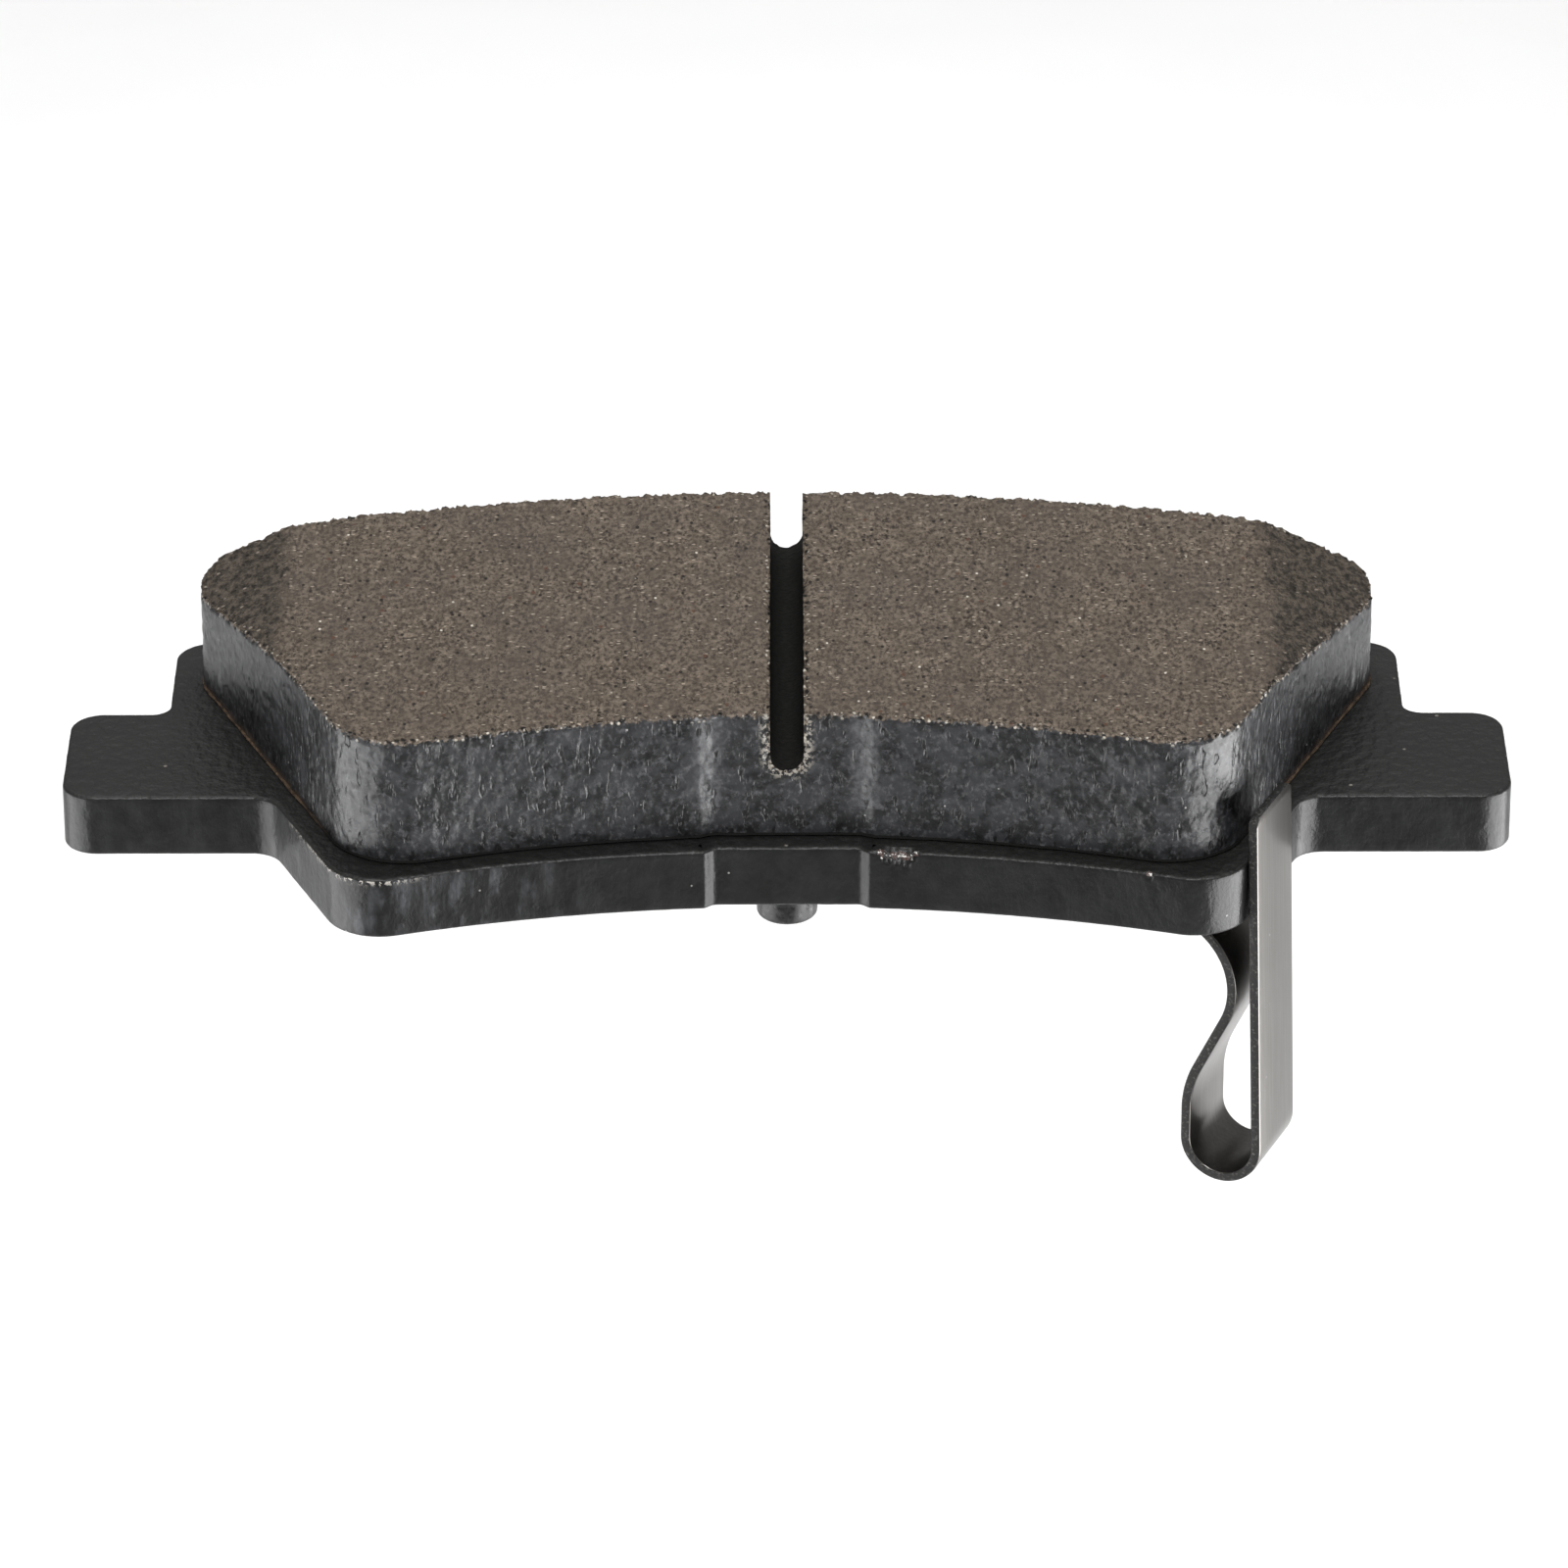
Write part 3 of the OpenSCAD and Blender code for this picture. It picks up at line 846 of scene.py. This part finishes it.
def make_bond(material):
    """The adhesive film, squeezed out unevenly round the lining."""
    loop = lining_loop(grown(BOND_PROUD), BOND_PROUD)
    normals = outward(loop)
    shell = Shell()
    middle = (BOND_LOW.z + BOND_HIGH.z) / 2
    bulge = 0.12
    uneven = 0.07
    rings = []
    for inset, z in ((bulge, BOND_LOW.z), (0.0, middle), (bulge, BOND_HIGH.z)):
        squeeze = [-inset - uneven * (1 + rough((x, y, 0), 2.2, 9.0)) for x, y in loop]
        rings.append(pushed(loop, normals, squeeze, z))
    shell.grid(rings, loop=True)
    shell.sheet([rings[0]], lambda x, y: BOND_LOW.z, down=True)
    shell.sheet([rings[-1]], lambda x, y: BOND_HIGH.z)
    piece = shell.piece("bond_film", [material])
    mark(piece, "stain", [stain(p) for p in shell.points])
    return piece


def make_underlayer(side, plug, rows=8):
    """The moulded layer below the friction compound (slot 0), and the plugs that hold it (1)."""
    loop = lining_loop(LINING)
    normals = outward(loop)
    shell = Shell()
    rings = []
    for i in range(rows + 1):
        z = BOND_HIGH.z + (BLOCK_Z - BOND_HIGH.z) * i / rows
        rings.append(pushed(loop, normals, [side_relief(x, y, z) for x, y in loop], z))
    shell.grid(rings, loop=True)
    plugs = [circle(c, PLUG_R - PLUG_GAP) for c in PLUG_AT]
    shell.sheet([rings[0]] + plugs, lambda x, y: BOND_HIGH.z, down=True)
    shell.sheet([rings[-1]], lambda x, y: BLOCK_Z)
    for c, outer in zip(PLUG_AT, plugs):
        rim = circle(c, PLUG_R - PLUG_RIM_IN)
        shell.grid([level(rim, PLUG_END), level(outer, PLUG_END + PLUG_RIM_UP),
                    level(outer, BOND_HIGH.z)], 1, loop=True)
        shell.sheet([rim], lambda x, y: PLUG_END, 1, down=True)
    piece = shell.piece("underlayer_moulding", [side, plug])
    far = [FAR_MM] * len(shell.points)
    mark(piece, "rim_mm", far)
    mark(piece, "mouth_mm", far)
    stain_top = BOND_HIGH.z + 0.45
    mark(piece, "stain", [stain(p) * smooth((stain_top - p.z + 0.3 * rough(p, 0.8)) / 0.35)
                          for p in shell.points])
    return piece


def recess_highlight(p):
    """Painted highlight at a point: only on the two corners of the shallow recess."""
    return smooth(1.6 - abs(abs(p[0]) - RECESS_X - 0.5) / 0.85) if p[1] < 0 else 0.0


def past_chamfer(x):
    """How far x is outside its end's chamfer line."""
    return abs(x) - (CHAMFER_RIGHT if x > 0 else CHAMFER_LEFT)


def top_z(x):
    """Height of the friction face at x, down the chamfers at its ends."""
    drop = CHAMFER_RIGHT_DROP if x > 0 else CHAMFER_LEFT_DROP
    past = past_chamfer(x)
    return LINING_TOP - drop * max(0, past) / (BLOCK_HIGH.x - abs(x) + past)


def scattered(loop, spacing=0.14, near=0.8, kept=0.32):
    """Uneven points inside a loop: all of them near it, and a share of those further in."""
    draw = random.Random(SEED)
    normals = outward(np.array(loop))
    tree = point_tree(level(loop, 0))
    low = np.min(loop, axis=0)
    high = np.max(loop, axis=0)
    inside = []
    for row in range(int((high[1] - low[1]) / spacing)):
        for column in range(int((high[0] - low[0]) / spacing)):
            shift = 0.5 * (row % 2)
            x = low[0] + (column + shift + draw.uniform(0.2, 0.8)) * spacing
            y = low[1] + (row + draw.uniform(0.2, 0.8)) * spacing
            c, i, gap = tree.find((x, y, 0))
            depth = -((x - c.x) * normals[i][0] + (y - c.y) * normals[i][1])
            if depth > 0 and gap > 0.55 * spacing and (gap < near or draw.random() < kept):
                inside.append((x, y))
    return inside


def point_tree(points):
    """Finds the nearest of some points."""
    tree = kdtree.KDTree(len(points))
    for i, p in enumerate(points):
        tree.insert(p, i)
    tree.balance()
    return tree


def block_rows(low=18, high=20):
    """Heights of a wall's rows as shares, with one level with the slot's round bottom."""
    split = (LINING_TOP - SLOT_DEPTH + SLOT_R - BLOCK_Z) / (LINING_TOP - BLOCK_Z)
    shares = [1 - (1 - i / high) ** 1.6 for i in range(1, high + 1)]
    return [split * i / low for i in range(low + 1)], [split + (1 - split) * t for t in shares]


def block_walls(shell, right, left, low, high):
    """The moulded sides, but for the two short stretches under the slot."""
    for half in (right, left):
        shell.grid([[(x, y, BLOCK_Z + (top_z(x) - BLOCK_Z) * share) for x, y in half]
                    for share in low + high], 1)


def slot_bottom(xs):
    """Heights of the slot's round bottom."""
    center = LINING_TOP - SLOT_DEPTH + SLOT_R
    return [center - math.sqrt(max(0, SLOT_R ** 2 - x * x)) for x in xs]


def block_bridges(shell, low):
    """The sides below the slot's two mouths."""
    ends = ([(x, LINING.near(x)) for x in bridge_xs()], [(-x, LINING.far(x)) for x in bridge_xs()])
    for line in ends:
        tops = slot_bottom([x for x, _ in line])
        shell.grid([[(x, y, BLOCK_Z + (top - BLOCK_Z) * share / low[-1])
                     for (x, y), top in zip(line, tops)] for share in low], 1)


def slot_section(high):
    """(x, z) points down one side of the slot, round its bottom and up the other side."""
    heights = [BLOCK_Z + (LINING_TOP - BLOCK_Z) * share for share in high]
    bottom = list(zip(bridge_xs(), slot_bottom(bridge_xs())))
    return [(-SLOT_R, z) for z in reversed(heights)] + bottom + [(SLOT_R, z) for z in heights]


def block_slot(shell, section, steps=160):
    """The inside of the slot. Returns the points of its two upper edges."""
    rows = [[(x, LINING.near(x) + (LINING.far(x) - LINING.near(x)) * i / steps, z) for x, z in section]
            for i in range(steps + 1)]
    shell.grid(rows, 2)
    return [row[0][:2] for row in rows], [row[-1][:2] for row in rows]


def block_top(shell, rim, slot_edge, spacing=0.25):
    """One half of the friction face, with a row of points along its chamfer's edge."""
    loop = list(map(tuple, rim)) + [tuple(p) for p in slot_edge[1:-1]]
    start = CHAMFER_RIGHT if rim[len(rim) // 2][0] > 0 else -CHAMFER_LEFT
    inner = [p for p in scattered(loop) if abs(p[0] - start) > 0.12]
    crease_low, crease_high = LINING.near(start) + 0.3, LINING.far(start) - 0.3
    if abs(start) >= LINING.slant_x + SLANT * crease_low:
        crease_low = (abs(start) - LINING.slant_x) / SLANT + 0.5
    steps = int((crease_high - crease_low) / spacing)
    inner += [(start, crease_low + spacing * i) for i in range(steps)]
    shell.sheet([loop], lambda x, y: top_z(x), 0, inner)


def outline_push(points, loop):
    """For each point, the outward direction of the wall nearest to it."""
    normals = outward(loop)
    tree = point_tree(level(loop, 0))
    return [Vector((*normals[tree.find((p.x, p.y, 0))[1]], 0)) for p in points]


def bite(p):
    """How much of a crumbling rim has broken away at a point, from 0 to about 3."""
    return (1.5 * smooth((rough(p, 0.42, 2.0) - 0.02) / 0.25) + 1.5 * max(0, rough(p, 1.3, 4.0))
            + 0.6 * rough(p, 0.22, 6.0))


def face_wear(p):
    """How far the ground face is below its true height at a point, rougher on the chamfers."""
    coarse = smooth(past_chamfer(p.x) / 1.5 + 0.5)
    pit = max(0, rough(p, 0.45, 7.0) - 0.25)
    grain = (0.02 + 0.035 * coarse) * (1 + rough(p, 0.4)) + 0.02 * rough(p, 0.2, 3.0)
    return grain + (0.2 + 0.2 * coarse) * pit


def weather(shell, wall_count, slot_count, rim_mm):
    """Moves the block's points: moulded walls, an uneven slot, a ground face, crumbling rims."""
    crumble_w, crumble_deep = 0.55, 0.2
    pushes = outline_push(shell.points, lining_loop(LINING))
    for i, p in enumerate(shell.points):
        lost = crumble_deep * smooth(1 - rim_mm[i] / crumble_w) * bite(p)
        moved = Vector((0, 0, 0))
        if i < wall_count:
            moved += pushes[i] * (side_relief(p.x, p.y, p.z) - lost)
        elif i < slot_count and abs(p.x) > 1:
            moved.x += math.copysign(0.05, p.x) * rough(p, 0.7)
        if p.z > top_z(p.x) - 0.05:
            moved.z -= face_wear(p) + lost
        p += moved
        p.z = min(p.z, LINING_TOP)


def make_block(top, side, slot):
    """The friction compound: ground face and chamfers (slot 0), moulded sides (1), slot in painted
    shade (2).
    """
    right, left = lining_halves(LINING)
    low, high = block_rows()
    shell = Shell()
    block_walls(shell, right, left, low, high)
    block_bridges(shell, low)
    wall_count = len(shell.points)
    section = slot_section(high)
    left_edge, right_edge = block_slot(shell, section)
    slot_count = len(shell.points)
    block_top(shell, right, right_edge[::-1])
    block_top(shell, left, left_edge)
    shell.sheet([lining_loop(LINING)], lambda x, y: BLOCK_Z, 1, down=True)

    mouths = [(x, edge(x), z) for edge in (LINING.near, LINING.far) for x, z in section]
    rims = [(x, y, top_z(x)) for x, y in np.concatenate([right, left])]
    slot_lines = level(left_edge + right_edge, LINING_TOP)
    rim = point_tree(rims + mouths + slot_lines)
    mouth = point_tree(mouths)
    rim_mm = [rim.find(p)[2] for p in shell.points]
    mouth_mm = [mouth.find(p)[2] for p in shell.points]
    weather(shell, wall_count, slot_count, rim_mm)

    piece = shell.piece("friction_block_compound", [top, side, slot], crease=50)
    mark(piece, "chamfer", [smooth((past_chamfer(p.x) + 1.1 * rough(p, 1.1)) / 1.6 + 0.45)
                            for p in shell.points])
    mark(piece, "rim_mm", [d * (1.3 if m < 0.8 else 1) for d, m in zip(rim_mm, mouth_mm)])
    mark(piece, "mouth_mm", mouth_mm)
    # Where the sides get the painted highlight on the recess corners.
    mark(piece, "recess_highlight", [recess_highlight(p) for p in shell.points])
    return piece


def turned(shell, center, profile):
    """A round solid from (radius, z) points that run from one end's middle to the other's."""
    shell.grid([level(circle(center, r, 72), z) for r, z in profile], loop=True)


def rolled_rim(r, z, rim):
    """(radius, z) points round the rolled lower rim of a cylinder that ends at z."""
    return [(r - rim + rim * at(a)[0], z + rim + rim * at(a)[1]) for a in range(-90, 1, 15)]


def make_pin(material):
    """The pin behind the plate, slightly dished, with its rolled rim and a shank in the plate."""
    r = PIN_HIGH.x
    end = PIN_LOW.z
    shank_r, shank_top = 1.6, 0.6
    dish = [(0.0, end + 0.02), (0.9, end + 0.015), (1.3, end)]
    side = [(r, end + 1.0), (r, -0.3), (r, 0.0)]
    shank = [(shank_r, 0.0), (shank_r, shank_top), (0.0, shank_top)]
    shell = Shell()
    turned(shell, (0, 0), dish + rolled_rim(r, end, 0.37) + side + shank)
    return shell.piece("locating_pin_steel", [material])


def make_rivet(material):
    """The rivet's head, dimpled by the tool, and the stub of its shank."""
    c = ((RIVET_LOW.x + RIVET_HIGH.x) / 2, (RIVET_LOW.y + RIVET_HIGH.y) / 2)
    r = (RIVET_HIGH.x - RIVET_LOW.x) / 2
    low = RIVET_LOW.z
    seat = -STRIP_T
    shank_r, shank_top = 1.4, 0.5
    dimple = [(0.0, low + 0.16), (0.45, low + 0.13), (0.8, low + 0.03), (1.0, low)]
    shank = [(r, seat), (shank_r, seat), (shank_r, shank_top), (0.0, shank_top)]
    shell = Shell()
    turned(shell, c, dimple + rolled_rim(r, low, 0.6) + shank)
    return shell.piece("indicator_rivet", [material])


def strip_path():
    """The strip's middle from the foot's end to the tip, and how far out the rivet is."""
    foot_z = -STRIP_T / 2
    waist_low = (LOOP_C[0] - LOOP_R, LOOP_C[1] + LOOP_RISE)
    waist_c = (waist_low[0] + WAIST_R, waist_low[1])
    cos_a, sin_a = at(WAIST_A)
    drop = foot_z - ROOT_R * (1 + sin_a) - waist_low[1] - WAIST_R * sin_a
    run = drop / cos_a
    root_c = (waist_c[0] - (WAIST_R + ROOT_R) * cos_a + run * sin_a, foot_z - ROOT_R)
    away = (TIP[0] - LOOP_C[0], TIP[1] - LOOP_C[1])
    tilt = math.degrees(math.atan2(away[1], away[0]) - math.acos(LOOP_R / math.hypot(*away)))
    rivet_out = root_c[0] - RIVET_REACH
    path = ([(rivet_out - STRIP_W / 2, foot_z), (root_c[0], foot_z)] + arc(root_c, ROOT_R, 90, -WAIST_A)
            + arc(waist_c, WAIST_R, 180 - WAIST_A, 180) + arc(LOOP_C, LOOP_R, 180, 360 + tilt)
            + [TIP])
    return path, rivet_out


# Spans of the strip's section, counted round it, that are its two sheared edges.
EDGE_SPANS = (0, 1, 2, 8, 9, 10, 11, 12, 18, 19)
STRIP_EDGE_R = 0.14
TIP_CORNER_R = 0.5


def strip_section(half_w, half_t, r=STRIP_EDGE_R):
    """(across, through) points round the strip's section, with rolled edges."""
    corners = ((half_w - r, half_t - r, 0), (-half_w + r, half_t - r, 90),
               (-half_w + r, -half_t + r, 180), (half_w - r, -half_t + r, 270))
    points = []
    for x, y, start in corners:
        points += [(x + r * at(start + a)[0], y + r * at(start + a)[1]) for a in (0, 22, 45, 68, 90)]
    return points


def slanted_way():
    """The level direction straight out of the right slanted edge."""
    return Vector((math.cos(math.radians(SLANT_A)), -math.sin(math.radians(SLANT_A)), 0))


def strip_half_width(before_rivet):
    """Half of the strip's width, round at the end of its foot."""
    half_w = STRIP_W / 2
    if before_rivet <= 0:
        return half_w
    return math.sqrt(max(0.09, half_w ** 2 - min(before_rivet, half_w) ** 2))


def tip_rounding(from_tip):
    """How much of the strip's half width its rounded tip corners take."""
    return TIP_CORNER_R * (1 - math.sqrt(max(0, 1 - (1 - min(1, from_tip / TIP_CORNER_R)) ** 2)))


def make_strip(face, edge):
    """The spring strip in one piece, foot, bends, loop and leg (slot 0), with its edges (1)."""
    path, rivet_out = strip_path()
    line = resample(path, lambda out, z: 0.12 if out < rivet_out - 1.5 else 0.3)
    along = np.gradient(line, axis=0)
    along /= np.hypot(*along.T)[:, None]
    left = np.append(np.cumsum(np.hypot(*np.diff(line[::-1], axis=0).T))[::-1], 0.0)
    n = slanted_way()
    w = Vector((-n.y, n.x, 0))
    origin = Vector((PLATE.slant_x, 0, 0)) + w * (STRIP_START + STRIP_W / 2)
    shell = Shell()
    rows = []
    for (out, z), (tx, tz), from_tip in zip(line, along, left):
        corner = tip_rounding(from_tip)
        section = strip_section(strip_half_width(rivet_out - out) - corner, STRIP_T / 2 - 0.12 * corner)
        middle = origin + n * float(out) + Vector((0, 0, float(z)))
        normal = n * float(-tz) + Vector((0, 0, float(tx)))
        rows.append([middle + w * a + normal * b for a, b in section])
    shell.grid(rows, loop=True)
    around = len(rows[0])
    shell.slots = [int(i % around in EDGE_SPANS) for i in range(len(shell.faces))]
    ends = [[shell.add(p) for p in row] for row in (rows[0], rows[-1])]
    shell.face(ends[0][::-1], 1)
    shell.face(ends[1], 1)
    return shell.piece("wear_indicator_strip", [face, edge], crease=60)


# ---------------- stage


def area_light(name, place, target, size, power, spread=180):
    """A soft rectangular light that the camera doesn't see."""
    data = bpy.data.lights.new(name, "AREA")
    data.shape = "RECTANGLE"
    data.size, data.size_y = size
    data.energy = power
    data.spread = math.radians(spread)
    light = bpy.data.objects.new(name, data)
    light.location = place
    light.rotation_euler = (Vector(target) - Vector(place)).to_track_quat("-Z", "Y").to_euler()
    light.visible_camera = False
    bpy.context.scene.collection.objects.link(light)


def make_floor():
    """A plain pale floor, well below the pad."""
    half = 4.0
    z = -0.2
    mesh = bpy.data.meshes.new("floor")
    mesh.from_pydata([(-half, -half, z), (half, -half, z), (half, half, z), (-half, half, z)],
                     [], [(0, 1, 2, 3)])
    f = Finish("floor_paper", (0.9, 0.9, 0.9), 0.9, 0.1)
    grain = f.noise((40, 40, 40), 2)
    f.color(f.mix(f.between(grain, 0.3, 0.7), FLOOR_DARK, FLOOR_PALE))
    mesh.materials.append(f.material)
    floor = bpy.data.objects.new("floor", mesh)
    bpy.context.scene.collection.objects.link(floor)


def make_camera():
    """Looks at the pad from the front, from above."""
    elevation = math.radians(28)
    distance = 0.6225
    aim = Vector((-0.20, 2.07, 5.96)) * MM
    roll = math.radians(-0.1)
    data = bpy.data.cameras.new("camera")
    data.lens = 208.3
    data.sensor_width = 36
    data.clip_start = 0.01
    camera = bpy.data.objects.new("camera", data)
    camera.location = aim + distance * Vector((0, -math.cos(elevation), math.sin(elevation)))
    tilt = Matrix.Rotation(math.pi / 2 - elevation, 3, "X") @ Matrix.Rotation(roll, 3, "Z")
    camera.rotation_euler = tilt.to_euler()
    bpy.context.scene.collection.objects.link(camera)
    bpy.context.scene.camera = camera


def make_light():
    """A front light, two overhead softboxes, low cards at both sides, and a dim room."""
    world = bpy.data.worlds.new("room")
    world.use_nodes = True
    background = world.node_tree.nodes["Background"]
    background.inputs["Color"].default_value = (1, 1, 1, 1)
    background.inputs["Strength"].default_value = 0.3
    bpy.context.scene.world = world
    area_light("key_light", (0.0, -0.78, 0.92), (0, 0, 0), (0.45, 0.3), 0.73, spread=40)
    area_light("softbox", (0, 0.4, 1.0), (0, 0.2, 0), (1.0, 1.0), 3)
    area_light("back_light", (0, 0.45, 0.5), (0, 0.45, -0.2), (0.9, 0.6), 1.0, spread=70)
    area_light("card_right", (0.26, -0.07, -0.12), (0, 0, -0.02), (0.36, 0.14), 1.35)
    area_light("card_left", (-0.26, -0.07, -0.12), (0, 0, -0.02), (0.34, 0.14), 0.66)
    bpy.context.scene.view_settings.view_transform = "Standard"


def dress(piece, node):
    """Puts a finished piece in the place of its CAD node, on the root body."""
    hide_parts(node)
    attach(piece, "root")


def make_pad():
    """Every piece of the pad; all but the strip go on the root body."""
    side_paint = lining_side_finish()
    plate = make_plate(plate_face_finish(), plate_side_finish(), chip_finish())
    dress(plate, "backing_plate")
    dress(make_bond(bond_finish()), "bond_layer")
    under = make_underlayer(side_paint, plug_finish())
    dress(under, "underlayer")
    block = make_block(ground_finish(), side_paint, slot_shade_finish())
    dress(block, "friction_block")
    pin = make_pin(steel_finish("pin_steel", PIN_DARK, PIN_PALE))
    dress(pin, "locating_pin")
    rivet = make_rivet(steel_finish("rivet_steel", RIVET_DARK, RIVET_PALE))
    dress(rivet, "sensor_rivet")
    strip = make_strip(strip_finish(), strip_edge_finish())
    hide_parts("wear_sensor_foot", "wear_sensor_leg")
    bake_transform(strip)


make_pad()
make_floor()
make_light()
make_camera()
